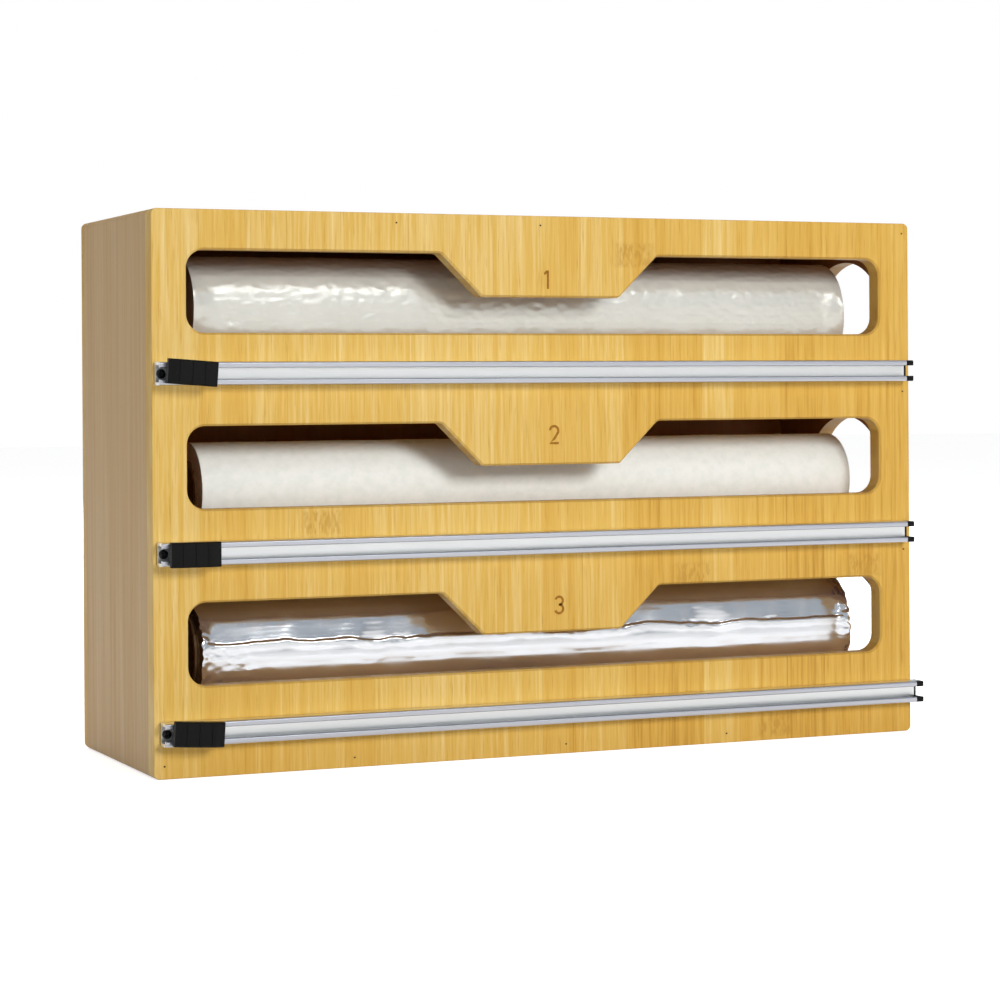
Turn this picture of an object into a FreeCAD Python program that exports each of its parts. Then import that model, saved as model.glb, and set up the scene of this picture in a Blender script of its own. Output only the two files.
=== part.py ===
import FreeCAD, Part
import os
import re
import Sketcher

# Kitchen wrap dispenser: a bamboo box that holds three rolls of kitchen wrap one above the other.
# Each roll turns on a shelf behind a wide slot in the front panel and is pushed in endways through
# an oval port in the right side. Under each slot an aluminium rail carries a cutter that slides
# along it: a shoe caught in the rail's groove, a blade, and a cap to push with a finger. A screw
# at the rail's left end and a plastic stop at its right end keep the cutter on the rail.
# The origin is on the table under the middle of the box. +X is to the right, +Y to the back.

SIZES = {
    # The rolls
    "roll_length": 304.8,         # width of the wrap on a roll
    "film_radius": 24.0,          # cling film, on the upper shelf
    "wax_radius": 20.5,           # wax paper, on the middle shelf
    "foil_radius": 24.0,          # foil, on the lower shelf
    "film_core_radius": 13.0,
    "wax_core_radius": 13.0,
    "foil_core_radius": 17.3,
    "core_wall": 2.1,
    "core_proud": 0.8,            # core beyond the wrap at each end
    "winding_fit": 0.05,          # between a core and the first turn
    "wrap_step": 0.8,             # height of the loose edge, about a few crumpled turns
    "rest_gap": 0.3,              # under a roll on its shelf
    "roll_behind": 1.5,           # from the middle of a port back to the roll's axis
    "film_shift": -4.3,           # how far each roll has slid sideways
    "wax_shift": 0.0,
    "foil_shift": -1.7,
    # The box
    "roll_room_left": 19.7,       # from a roll's end to the left side panel
    "roll_room_right": 8.7,
    "box_depth": 107.7,
    "wall": 8.0,                  # front, side, top and bottom boards
    "back_wall": 6.0,
    "shelf_thick": 6.0,
    "floor_rise": 21.0,           # top of the lowest shelf above the table
    "tier_gap": 15.6,             # from the top of a port to the shelf above it
    "head_gap": 7.9,              # from the upper port to the top panel
    "corner_round": 2.5,          # long edges and corners of the box
    "rim_round": 0.5,             # edges of the front and back faces
    # The oval ports in the right side
    "port_clear": 0.4,            # over and under the thickest roll
    "port_spare": 7.5,            # before and behind it
    "port_sill": 0.1,             # from a shelf up to the port
    "port_inset": 2.5,            # from the front panel to the port
    "port_bevel": 0.8,
    # The slots in the front
    "slot_rise": 15.3,            # from a shelf up to the slot
    "slot_brow": 0.4,             # from the slot's top up to the level of the port's top
    "slot_margin_left": 14.5,
    "slot_margin_right": 15.3,
    "slot_corner": 7.5,
    "slot_bevel": 0.8,
    "tab_top": 100.0,             # tongue that hangs into the slot, at its root
    "tab_tip": 63.5,              # and at its lower end
    "tab_drop": 18.0,
    "tab_shift": -0.7,            # its middle from the middle of the box
    "tab_root_round": 3.0,
    "tab_tip_round": 2.0,
    # The brads that hold front and back: headless nails of flat wire
    "brad_wide": 0.7,
    "brad_high": 0.6,
    "brad_length": 20.0,
    "brad_fit": 0.05,
    "brad_left": 4.3,             # from the left side of the box
    "brad_right": 3.3,            # from its right side
    "brad_crown": 4.5,            # from the top of the box to the highest one
    "brad_foot": 5.2,             # from the table to the lowest one
    "brad_cover": 3.0,            # from the middle of a rail up to the brad it covers
    "brad_top_first": 104.2,
    "brad_top_last": 169.1,
    "brad_low_first": 84.5,
    "brad_low_second": 179.5,
    "brad_low_last": 256.0,
    "brad_shelf_inset": 60.0,
    # The keyholes in the back
    "key_spacing": 240.0,
    "key_height": 188.0,          # centre of the round entry above the table
    "key_radius": 4.5,
    "key_slot": 4.6,
    "key_rise": 9.0,
    # The cutter rails
    "upper_rail_short": 3.8,      # by how much a rail with its stop is shorter than the box
    "middle_rail_short": 4.4,
    "lower_rail_short": 1.2,
    "rail_height": 9.2,
    "rail_depth": 8.0,
    "rail_web": 1.6,
    "rail_side": 1.2,
    "lip_depth": 1.8,
    "groove": 4.6,                # opening between the lips
    "lip_round": 0.8,
    "lip_inner_round": 0.6,
    "upper_rail_start": 1.0,      # left ends from the left of the box, as they were stuck on
    "middle_rail_start": 1.6,
    "lower_rail_start": 2.6,
    "upper_rail_drop": 16.3,      # from a slot down to the middle of its rail
    "middle_rail_drop": 17.3,
    "lower_rail_drop": 18.0,
    "tape_thick": 0.4,
    "tape_height": 7.6,
    "tape_start": 5.0,            # from the rail's left end, clear of its screw
    "tape_end": 2.0,
    # The stop at the right end of each rail
    "stop_plate": 1.0,
    "stop_prong": 3.4,            # with the plate
    # The screw at the left end of each rail, which also stops the slider
    "screw_inset": 2.1,
    "screw_radius": 1.2,
    "screw_length": 16.0,
    "screw_fit": 0.05,
    "screw_head_radius": 1.9,
    "screw_head_height": 1.3,
    # The sliders
    "slide_gap": 0.3,             # before and behind the foot, and between lips and cap
    "foot_play": 0.8,             # over and under the foot
    "neck_play": 0.8,             # over and under the neck
    "cap_length": 20.4,
    "cap_height": 9.9,
    "cap_depth": 4.5,
    "cap_lead": 0.8,              # bevel that takes in the wrap
    "cap_slope": 4.0,             # length of each sloped end
    "cap_slope_depth": 1.2,
    "cap_round": 2.0,
    "cap_ease": 0.5,
    "rib_width": 1.0,
    "rib_proud": 0.3,
    "rib_pitch": 5.2,
    "foot_short": 5.7,            # cap beyond the foot at each end
    "neck_length": 7.0,
    "tenon": 2.2,                 # neck inside the cap
    "blade_thick": 0.5,
    "blade_reach": 0.3,           # from the back of the lips to the back of the blade
    "blade_width": 3.5,
    "blade_back": 11.0,
    "blade_front": 16.4,
    "upper_park": 4.0,            # from the screw's head to the foot, where the slider stands
    "middle_park": 4.3,
    "lower_park": 4.3,
    "upper_tilt": 4.3,            # degrees that it leans in its rail, left end up
    "middle_tilt": 0.0,
    "lower_tilt": 3.4,
    "upper_lift": 0.35,           # from the middle of the rail up to the middle of the slider
    "middle_lift": 0.0,
    "lower_lift": 0.3,
}

FORMULAS = {
    "thickest": "max(max(film_radius; wax_radius); foil_radius)",
    "port_rise": "thickest + port_clear",
    "port_reach": "thickest + port_spare",
    "port_middle": "wall + port_inset + port_reach",
    "width": "roll_length + roll_room_left + roll_room_right + 2 * wall",
    "inner_width": "width - 2 * wall",
    "inner_depth": "box_depth - wall - back_wall",
    "tier_pitch": "2 * port_rise + tier_gap + shelf_thick",
    "height": "floor_rise + 2 * tier_pitch + 2 * port_rise + head_gap + wall",
    "lower_floor": "floor_rise",
    "middle_floor": "floor_rise + tier_pitch",
    "upper_floor": "floor_rise + 2 * tier_pitch",
    "roll_axis": "port_middle + roll_behind",
    "slot_left": "slot_margin_left",
    "slot_right": "width - slot_margin_right",
    "slot_height": "port_sill + 2 * port_rise - slot_brow - slot_rise",
    "tab_middle": "width / 2 + tab_shift",
    "brad_half_wide": "brad_wide / 2",
    "brad_half_high": "brad_high / 2",
    "screw_hole": "screw_radius + screw_fit",
    "upper_rail_length": "width - upper_rail_short",
    "middle_rail_length": "width - middle_rail_short",
    "lower_rail_length": "width - lower_rail_short",
    "cavity": "rail_height - 2 * rail_side",
    "lip_back": "rail_depth - lip_depth",
    "foot_thick": "lip_back - rail_web - 2 * slide_gap",
    "foot_height": "cavity - 2 * foot_play",
    "neck_height": "groove - 2 * neck_play",
    "cap_back": "rail_depth + slide_gap",
    "cap_front": "cap_back + cap_depth",
    "cap_middle": "cap_length / 2",
    "blade_rear": "lip_back + blade_reach",
    "blade_nose": "blade_rear + blade_width",
}

TIERS = {"upper": "film", "middle": "wax", "lower": "foil"}
TOUCH = 0.01

doc = FreeCAD.newDocument("WrapDispenser")
sheet = doc.addObject("Spreadsheet::Sheet", "Sizes")
for row, (name, number) in enumerate(SIZES.items(), 1):
    sheet.set(f"A{row}", name)
    sheet.set(f"B{row}", str(number))
    sheet.setAlias(f"B{row}", name)
doc.recompute()
pieces = []


def spell(text):
    """Write a formula out in cells of the sheet."""
    def word(match):
        name = match.group()
        if name in FORMULAS:
            return "(" + spell(FORMULAS[name]) + ")"
        return "Sizes." + name if name in SIZES else name
    return re.sub(r"[a-z_]+", word, text)


def value(text):
    """Number that a formula gives now."""
    return float(sheet.evalExpression(spell(text)))


def bind(thing, path, text):
    """Tie a property to the sheet."""
    thing.setExpression(path, spell(text))


def place(thing, x, y, z):
    """Set a piece by its place from the lower front left corner of the box."""
    bind(thing, "Placement.Base.x", f"{x} - width / 2")
    bind(thing, "Placement.Base.y", f"{y} - box_depth / 2")
    bind(thing, "Placement.Base.z", z)


def new_body(label, x, y, z):
    """Start a piece whose own origin is at this place."""
    body = doc.addObject("PartDesign::Body", label)
    body.Label = label
    place(body, x, y, z)
    pieces.append(body)
    return body


def origin_item(body, role):
    """Plane or axis of the body's own origin."""
    return next(item for item in body.Origin.OriginFeatures if item.Role == role)


def new_sketch(body, label, plane, offset="0"):
    """Start a sketch on a plane of the body, moved along the plane's normal."""
    sketch = body.newObject("Sketcher::SketchObject", label)
    sketch.AttachmentSupport = (origin_item(body, plane), [""])
    sketch.MapMode = "FlatFace"
    bind(sketch, "AttachmentOffset.Base.z", offset)
    return sketch


def tie(sketch, line, point, u, v):
    """Hold a point of a sketch at two distances from the sketch's origin."""
    for kind, text in (("DistanceX", u), ("DistanceY", v)):
        number = sketch.addConstraint(Sketcher.Constraint(kind, -1, 1, line, point, value(text)))
        bind(sketch, f"Constraints[{number}]", text)


def outline(sketch, corners):
    """Close a straight-sided outline through these corners."""
    spots = [FreeCAD.Vector(value(u), value(v), 0) for u, v in corners]
    first = sketch.GeometryCount
    count = len(corners)
    for here in range(count):
        sketch.addGeometry(Part.LineSegment(spots[here], spots[(here + 1) % count]), False)
    for here in range(count):
        after = (here + 1) % count
        sketch.addConstraint(Sketcher.Constraint("Coincident", first + here, 2, first + after, 1))
    for here, (u, v) in enumerate(corners):
        tie(sketch, first + here, 1, u, v)


def rectangle(sketch, left, right, low, high):
    """Close a rectangle between these four values."""
    outline(sketch, [(left, low), (right, low), (right, high), (left, high)])


def circle(sketch, u, v, radius):
    """Add a circle."""
    middle = FreeCAD.Vector(value(u), value(v), 0)
    ring = sketch.addGeometry(Part.Circle(middle, FreeCAD.Vector(0, 0, 1), value(radius)), False)
    tie(sketch, ring, 3, u, v)
    number = sketch.addConstraint(Sketcher.Constraint("Radius", ring, value(radius)))
    bind(sketch, f"Constraints[{number}]", radius)


def oval(sketch, u, v, across, up):
    """Add an ellipse that reaches further across than up."""
    middle = FreeCAD.Vector(value(u), value(v), 0)
    side = middle + FreeCAD.Vector(value(across), 0, 0)
    crown = middle + FreeCAD.Vector(0, value(up), 0)
    ring = sketch.addGeometry(Part.Ellipse(side, crown, middle), False)
    sketch.exposeInternalGeometry(ring)
    tie(sketch, ring, 3, u, v)
    long_axis = ring + 1
    short_axis = ring + 2
    sketch.addConstraint(Sketcher.Constraint("Horizontal", long_axis))
    for line, reach in ((long_axis, across), (short_axis, up)):
        number = sketch.addConstraint(Sketcher.Constraint("Distance", line, 2 * value(reach)))
        bind(sketch, f"Constraints[{number}]", f"2 * {reach}")


def pad(body, label, sketch, length, reverse=False):
    """Raise a sketch into the body."""
    feature = body.newObject("PartDesign::Pad", label)
    feature.Profile = sketch
    feature.Reversed = reverse
    bind(feature, "Length", length)
    doc.recompute()
    return feature


def pocket(body, label, sketch, depth="", reverse=False):
    """Cut a sketch out of the body, right through or to a depth."""
    before = body.Shape.Volume
    feature = body.newObject("PartDesign::Pocket", label)
    feature.Profile = sketch
    feature.Reversed = reverse
    if depth:
        bind(feature, "Length", depth)
    else:
        feature.Type = "ThroughAll"
    doc.recompute()
    if body.Shape.Volume > before - TOUCH:
        raise ValueError(f"{label} of {body.Label} cuts nothing")
    return feature


def repeat(body, label, feature, axis, spacing, count):
    """Repeat a feature along one of the body's axes."""
    row = body.newObject("PartDesign::LinearPattern", label)
    row.Originals = [feature]
    row.Direction = (origin_item(body, axis), [""])
    row.Mode = "Spacing"
    row.Occurrences = count
    bind(row, "Offset", spacing)
    body.Tip = row
    doc.recompute()


def lies_at(box, x=None, y=None, z=None):
    """Whether an edge lies wholly at the given values."""
    spans = ((box.XMin, box.XMax, x), (box.YMin, box.YMax, y), (box.ZMin, box.ZMax, z))
    return all(spot is None or max(abs(low - spot), abs(high - spot)) < TOUCH
               for low, high, spot in spans)


def edges_that(body, wanted):
    """Last feature of the body with its edges whose bounding box passes the test."""
    base = body.Tip
    names = [f"Edge{number}" for number, edge in enumerate(base.Shape.Edges, 1)
             if wanted(edge.BoundBox)]
    return base, names


def ease(body, label, radius, wanted):
    """Round some edges."""
    base = edges_that(body, wanted)
    fillet = body.newObject("PartDesign::Fillet", label)
    fillet.Base = base
    bind(fillet, "Radius", radius)
    doc.recompute()


def bevel(body, label, size, wanted):
    """Take some edges off flat."""
    base = edges_that(body, wanted)
    chamfer = body.newObject("PartDesign::Chamfer", label)
    chamfer.Base = base
    bind(chamfer, "Size", size)
    doc.recompute()


def board(label, plane, across, up, thick, at):
    """Flat board with one corner at its own origin."""
    body = new_body(label, *at)
    sketch = new_sketch(body, "board_outline", plane)
    rectangle(sketch, "0", across, "0", up)
    pad(body, "board", sketch, thick, reverse=plane == "XZ_Plane")
    return body


# The brads: where each row of them stands, from the lower front left corner of the box

def rail_z(tier):
    """Height of the middle of a rail."""
    return f"({tier}_floor + slot_rise - {tier}_rail_drop)"


BRADS_LEFT = [f"{rail_z(tier)} + brad_cover" for tier in TIERS] + ["brad_foot"]
BRADS_RIGHT = [f"height - brad_crown - {step} * tier_pitch" for step in range(3)]
BRADS_TOP = ["brad_top_first", "brad_top_last"]
BRADS_BOTTOM = ["brad_low_first", "brad_low_second", "brad_low_last"]
BRADS_SHELF = ["brad_shelf_inset", "width - brad_shelf_inset"]
BRAD_SPOTS = (
    [("brad_left", z) for z in BRADS_LEFT]
    + [("width - brad_right", z) for z in BRADS_RIGHT]
    + [(x, "height - wall / 2") for x in BRADS_TOP]
    + [(x, "wall / 2") for x in BRADS_BOTTOM]
    + [(x, f"{tier}_floor - shelf_thick / 2") for tier in TIERS for x in BRADS_SHELF]
)


def brad_sketch(body, label, spots, offset="0"):
    """Draw the section of each brad with its clearance."""
    sketch = new_sketch(body, label, "XZ_Plane", offset)
    wide = "(brad_half_wide + brad_fit)"
    high = "(brad_half_high + brad_fit)"
    for x, z in spots:
        rectangle(sketch, f"{x} - {wide}", f"{x} + {wide}", f"{z} - {high}", f"{z} + {high}")
    return sketch


def brad_holes(body, spots, through=False):
    """Cut for the brads, through a face board or into both ends of a board between them."""
    front = brad_sketch(body, "brad_spots", spots)
    if through:
        pocket(body, "brad_holes", front)
        return
    pocket(body, "front_brad_holes", front, "brad_length - wall")
    back = brad_sketch(body, "back_brad_spots", spots, "-inner_depth")
    pocket(body, "back_brad_holes", back, "brad_length - back_wall", reverse=True)


def round_box_edges(body, face):
    """Round the corners of a face board and then the rim of its outer face."""
    width = value("width")
    height = value("height")
    ease(body, "corner_rounds", "corner_round",
         lambda box: any(lies_at(box, x=x, z=z) for x in (0, width) for z in (0, height)))
    reach = value("corner_round") + TOUCH
    ease(body, "rim_round", "rim_round",
         lambda box: lies_at(box, y=face) and (
             box.XMax < reach or box.XMin > width - reach
             or box.ZMax < reach or box.ZMin > height - reach))


# Front panel: three slots, each with a tongue that holds the wrap down

def front_panel():
    body = board("front_panel", "XZ_Plane", "width", "height", "wall", ("0", "0", "0"))
    round_box_edges(body, 0)
    sketch = new_sketch(body, "slot_outline", "XZ_Plane")
    low = "lower_floor + slot_rise"
    high = f"{low} + slot_height"
    tip = f"{high} - tab_drop"
    outline(sketch, [
        ("slot_left", low), ("slot_right", low), ("slot_right", high),
        ("tab_middle + tab_top / 2", high), ("tab_middle + tab_tip / 2", tip),
        ("tab_middle - tab_tip / 2", tip), ("tab_middle - tab_top / 2", high),
        ("slot_left", high)])
    slot = pocket(body, "slot", sketch)
    repeat(body, "slots", slot, "Z_Axis", "tier_pitch", len(TIERS))
    pitch = value("tier_pitch")

    def corner(box, spots):
        return any(lies_at(box, x=value(x), z=value(z) + step * pitch)
                   for x, z in spots for step in range(len(TIERS)))

    ends = [(x, z) for x in ("slot_left", "slot_right") for z in (low, high)]
    roots = [(f"tab_middle {side} tab_top / 2", high) for side in "+-"]
    tips = [(f"tab_middle {side} tab_tip / 2", tip) for side in "+-"]
    ease(body, "slot_corners", "slot_corner", lambda box: corner(box, ends))
    ease(body, "tab_roots", "tab_root_round", lambda box: corner(box, roots))
    ease(body, "tab_tips", "tab_tip_round", lambda box: corner(box, tips))
    left = value("slot_left") - TOUCH
    right = value("slot_right") + TOUCH
    bevel(body, "slot_rims", "slot_bevel",
          lambda box: lies_at(box, y=0) and box.XMin > left and box.XMax < right
          and box.ZMin > value(low) - TOUCH and box.ZMax < value(high) + 2 * pitch + TOUCH)
    brad_holes(body, BRAD_SPOTS, through=True)
    screws = new_sketch(body, "rail_screw_spots", "XZ_Plane")
    for tier in TIERS:
        circle(screws, screw_x(tier), rail_z(tier), "screw_hole")
    pocket(body, "rail_screw_holes", screws)


def screw_x(tier):
    """Place of a rail's screw from the left of the box."""
    return f"({tier}_rail_start + screw_inset)"


# Back panel: plain, with two keyholes to hang the box on a wall

def back_panel():
    body = board("back_panel", "XZ_Plane", "width", "height", "back_wall",
                 ("0", "box_depth - back_wall", "0"))
    round_box_edges(body, value("back_wall"))
    brad_holes(body, BRAD_SPOTS, through=True)
    for side, sign in (("left", "-"), ("right", "+")):
        x = f"(width / 2 {sign} key_spacing / 2)"
        entry = new_sketch(body, f"{side}_key_entry", "XZ_Plane")
        circle(entry, x, "key_height", "key_radius")
        pocket(body, f"{side}_key_hole", entry)
        neck = new_sketch(body, f"{side}_key_neck", "XZ_Plane")
        rectangle(neck, f"{x} - key_slot / 2", f"{x} + key_slot / 2",
                  "key_height", "key_height + key_rise")
        pocket(body, f"{side}_key_slot", neck)
        seat = new_sketch(body, f"{side}_key_seat", "XZ_Plane")
        circle(seat, x, "key_height + key_rise", "key_slot / 2")
        pocket(body, f"{side}_key_end", seat)


# Side panels: the left one is plain, the right one has an oval port for each roll

def side_panel(side):
    start = {"left": "0", "right": "width - wall"}[side]
    body = board(f"{side}_side_panel", "YZ_Plane", "inner_depth", "height", "wall",
                 (start, "wall", "0"))
    outer = {"left": 0, "right": value("wall")}[side]
    ease(body, "long_edges", "corner_round",
         lambda box: any(lies_at(box, x=outer, z=z) for z in (0, value("height"))))
    if side == "right":
        ports = new_sketch(body, "port_oval", "YZ_Plane")
        oval(ports, "port_middle - wall", "lower_floor + port_sill + port_rise", "port_reach",
             "port_rise")
        port = pocket(body, "port", ports, reverse=True)
        repeat(body, "ports", port, "Z_Axis", "tier_pitch", len(TIERS))
        bevel(body, "port_rims", "port_bevel",
              lambda box: lies_at(box, x=outer) and box.YLength > value("port_reach")
              and box.ZLength < value("tier_pitch") and box.ZLength > value("port_rise"))
    edge, heights = {"left": ("brad_left", BRADS_LEFT),
                     "right": ("wall - brad_right", BRADS_RIGHT)}[side]
    brad_holes(body, [(edge, z) for z in heights])
    if side == "left":
        screws = new_sketch(body, "rail_screw_spots", "XZ_Plane")
        for tier in TIERS:
            circle(screws, screw_x(tier), rail_z(tier), "screw_hole")
        pocket(body, "rail_screw_holes", screws,
               "screw_length - rail_web - tape_thick - wall + screw_fit")


# Top and bottom panels and the three shelves, all between the sides

def inner_board(label, z, thick, spots):
    body = board(label, "XY_Plane", "inner_width", "inner_depth", thick, ("wall", "wall", z))
    brad_holes(body, [(f"{x} - wall", f"{thick} / 2") for x in spots])


# Brads: flat wire nails through the face boards into the boards behind them

def panel_brads():
    nails = []
    for x, z in BRAD_SPOTS:
        for y in ("0", "box_depth - brad_length"):
            nail = doc.addObject("Part::Box", "brad")
            bind(nail, "Length", "brad_wide")
            bind(nail, "Width", "brad_length")
            bind(nail, "Height", "brad_high")
            place(nail, f"{x} - brad_half_wide", y, f"{z} - brad_half_high")
            nails.append(nail)
    group = doc.addObject("Part::Compound", "panel_brads")
    group.Links = nails
    pieces.append(group)


# Cutter rails: an aluminium channel with lips that turn in, the tape behind it, and at its right
# end a plastic stop, whose prongs sit in notches of the lips

def cutter_rail(tier):
    body = new_body(f"cutter_rail_{tier}", f"{tier}_rail_start", "-tape_thick", rail_z(tier))
    section = new_sketch(body, "rail_section", "YZ_Plane")
    upper = [("-rail_depth", "rail_height / 2"), ("-rail_depth", "groove / 2"),
             ("-lip_back", "groove / 2"), ("-lip_back", "cavity / 2"), ("-rail_web", "cavity / 2")]
    lower = [(y, f"-{z}") for y, z in reversed(upper)]
    outline(section, [("0", "rail_height / 2")] + upper + lower + [("0", "-rail_height / 2")])
    pad(body, "channel", section, f"{tier}_rail_length - stop_plate")
    front = -value("rail_depth")
    ease(body, "outer_rounds", "lip_round",
         lambda box: any(lies_at(box, y=front, z=side * value("rail_height / 2"))
                         for side in (-1, 1)))
    ease(body, "inner_rounds", "lip_inner_round",
         lambda box: any(lies_at(box, y=front, z=side * value("groove / 2")) for side in (-1, 1)))
    hole = new_sketch(body, "screw_spot", "XZ_Plane")
    circle(hole, "screw_inset", "0", "screw_hole")
    pocket(body, "screw_hole", hole, "rail_web", reverse=True)
    notch = new_sketch(body, "prong_notch", "XY_Plane", "-rail_height")
    rectangle(notch, f"{tier}_rail_length - stop_prong", f"{tier}_rail_length",
              "-2 * rail_depth", "-lip_back")
    pocket(body, "lip_notches", notch, "2 * rail_height", reverse=True)


def rail_tape(tier):
    board(f"rail_tape_{tier}", "XZ_Plane",
          f"{tier}_rail_length - stop_plate - tape_start - tape_end", "tape_height",
          "tape_thick", (f"({tier}_rail_start + tape_start)", "-tape_thick",
                         f"{rail_z(tier)} - tape_height / 2"))


def rail_stop(tier):
    """Its plate has the rail's outline and leaves the groove open, but not the foot's way."""
    body = new_body(f"rail_stop_{tier}", f"({tier}_rail_start + {tier}_rail_length)",
                    "-tape_thick", rail_z(tier))
    section = new_sketch(body, "plate_outline", "YZ_Plane", "-stop_plate")
    outline(section, [
        ("0", "rail_height / 2"), ("-rail_depth", "rail_height / 2"), ("-rail_depth", "groove / 2"),
        ("-rail_web", "groove / 2"), ("-rail_web", "-groove / 2"), ("-rail_depth", "-groove / 2"),
        ("-rail_depth", "-rail_height / 2"), ("0", "-rail_height / 2")])
    pad(body, "plate", section, "stop_plate")
    prongs = new_sketch(body, "prong_outlines", "YZ_Plane", "-stop_prong")
    rectangle(prongs, "-rail_depth", "-lip_back", "groove / 2", "rail_height / 2")
    rectangle(prongs, "-rail_depth", "-lip_back", "-rail_height / 2", "-groove / 2")
    pad(body, "prongs", prongs, "stop_prong - stop_plate")
    front = -value("rail_depth")
    ease(body, "outer_rounds", "lip_round",
         lambda box: any(lies_at(box, y=front, z=side * value("rail_height / 2"))
                         for side in (-1, 1)))


def rail_screws():
    screws = []
    for tier in TIERS:
        shape = []
        for radius, height, y in (
                ("screw_radius", "screw_length", "-(tape_thick + rail_web)"),
                ("screw_head_radius", "screw_head_height",
                 "-(tape_thick + rail_web + screw_head_height)")):
            rod = doc.addObject("Part::Cylinder", "screw_rod")
            bind(rod, "Radius", radius)
            bind(rod, "Height", height)
            rod.Placement.Rotation = FreeCAD.Rotation(FreeCAD.Vector(1, 0, 0), -90)
            place(rod, screw_x(tier), y, rail_z(tier))
            shape.append(rod)
        screw = doc.addObject("Part::Fuse", f"{tier}_screw")
        screw.Base, screw.Tool = shape
        screws.append(screw)
    group = doc.addObject("Part::Compound", "rail_screws")
    group.Links = screws
    pieces.append(group)


# Sliders: the shoe runs in the rail's channel, its neck reaches out between the lips, and its
# tenon sits in the cap. The blade is clamped in one slit through neck and cap.

def slider_body(label, tier):
    """The play in the groove lets a slider lean; its origin is the left end of its cap."""
    rest = (f"({tier}_rail_start + screw_inset + screw_head_radius + {tier}_park"
            f" + cap_middle - foot_short)")
    body = new_body(label, f"{rest} - cap_middle * cos({tier}_tilt)", "-tape_thick",
                    f"{rail_z(tier)} + {tier}_lift + cap_middle * sin({tier}_tilt)")
    body.Placement.Rotation = FreeCAD.Rotation(FreeCAD.Vector(0, 1, 0), value(f"{tier}_tilt"))
    return body


def slider_shoe(tier):
    body = slider_body(f"slider_shoe_{tier}", tier)
    foot = new_sketch(body, "foot_outline", "XZ_Plane", "rail_web + slide_gap")
    rectangle(foot, "foot_short", "cap_length - foot_short", "-foot_height / 2", "foot_height / 2")
    pad(body, "foot", foot, "foot_thick")
    neck = new_sketch(body, "neck_outline", "XZ_Plane", "lip_back - slide_gap")
    rectangle(neck, "cap_middle - neck_length / 2", "cap_middle + neck_length / 2",
              "-neck_height / 2", "neck_height / 2")
    pad(body, "neck", neck, "lip_depth + 2 * slide_gap + tenon")
    slit = new_sketch(body, "blade_slit", "XZ_Plane", "blade_rear")
    rectangle(slit, "cap_middle - neck_length / 2", "cap_middle + neck_length / 2",
              "-blade_thick / 2", "blade_thick / 2")
    pocket(body, "slit", slit, "blade_width + tenon", reverse=True)


def slider_cap(tier):
    body = slider_body(f"slider_cap_{tier}", tier)
    plan = new_sketch(body, "cap_plan", "XY_Plane", "-cap_height / 2")
    outline(plan, [
        ("cap_lead", "-cap_back"), ("0", "-(cap_back + cap_lead)"),
        ("0", "-(cap_front - cap_slope_depth)"), ("cap_slope", "-cap_front"),
        ("cap_length - cap_slope", "-cap_front"),
        ("cap_length", "-(cap_front - cap_slope_depth)"),
        ("cap_length", "-(cap_back + cap_lead)"), ("cap_length - cap_lead", "-cap_back")])
    pad(body, "cap", plan, "cap_height")
    front = -value("cap_front")
    ease(body, "face_rounds", "cap_round",
         lambda box: any(lies_at(box, x=value(x), y=front)
                         for x in ("cap_slope", "cap_length - cap_slope")))
    shoulder = -value("cap_front - cap_slope_depth")
    bevel(body, "finger_edges", "cap_ease",
          lambda box: any(lies_at(box, z=side * value("cap_height / 2")) for side in (-1, 1))
          and box.YMax < shoulder + TOUCH)
    rib = new_sketch(body, "rib_plan", "XY_Plane", "-(cap_height / 2 - cap_ease)")
    rectangle(rib, "cap_middle - rib_pitch - rib_width / 2",
              "cap_middle - rib_pitch + rib_width / 2",
              "-(cap_front + rib_proud)", "-(cap_front - cap_slope_depth)")
    first = pad(body, "rib", rib, "cap_height - 2 * cap_ease")
    repeat(body, "ribs", first, "X_Axis", "rib_pitch", 3)
    mortise = new_sketch(body, "mortise", "XZ_Plane", "cap_back")
    rectangle(mortise, "cap_middle - neck_length / 2", "cap_middle + neck_length / 2",
              "-neck_height / 2", "neck_height / 2")
    pocket(body, "tenon_mortise", mortise, "tenon", reverse=True)
    slot = new_sketch(body, "blade_slot", "XZ_Plane", "cap_back")
    rectangle(slot, "cap_middle - blade_front / 2", "cap_middle + blade_front / 2",
              "-blade_thick / 2", "blade_thick / 2")
    pocket(body, "blade_seat", slot, "blade_nose - cap_back", reverse=True)


def cutter_blade(tier):
    body = slider_body(f"cutter_blade_{tier}", tier)
    plan = new_sketch(body, "blade_plan", "XY_Plane", "-blade_thick / 2")
    outline(plan, [
        ("cap_middle - blade_back / 2", "-blade_rear"),
        ("cap_middle - blade_front / 2", "-blade_nose"),
        ("cap_middle + blade_front / 2", "-blade_nose"),
        ("cap_middle + blade_back / 2", "-blade_rear")])
    pad(body, "blade", plan, "blade_thick")


# Rolls: a cardboard core, and the wrap wound on it up to a loose edge at the front

def roll_body(label, wrap, tier, start):
    return new_body(label, f"(wall + roll_room_left + {wrap}_shift - {start})", "roll_axis",
                    f"{tier}_floor + rest_gap + {wrap}_radius")


def roll_core(wrap, tier):
    body = roll_body(f"{wrap}_core", wrap, tier, "core_proud")
    ring = new_sketch(body, "core_ring", "YZ_Plane")
    circle(ring, "0", "0", f"{wrap}_core_radius")
    circle(ring, "0", "0", f"{wrap}_core_radius - core_wall")
    pad(body, "tube", ring, "roll_length + 2 * core_proud")


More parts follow.
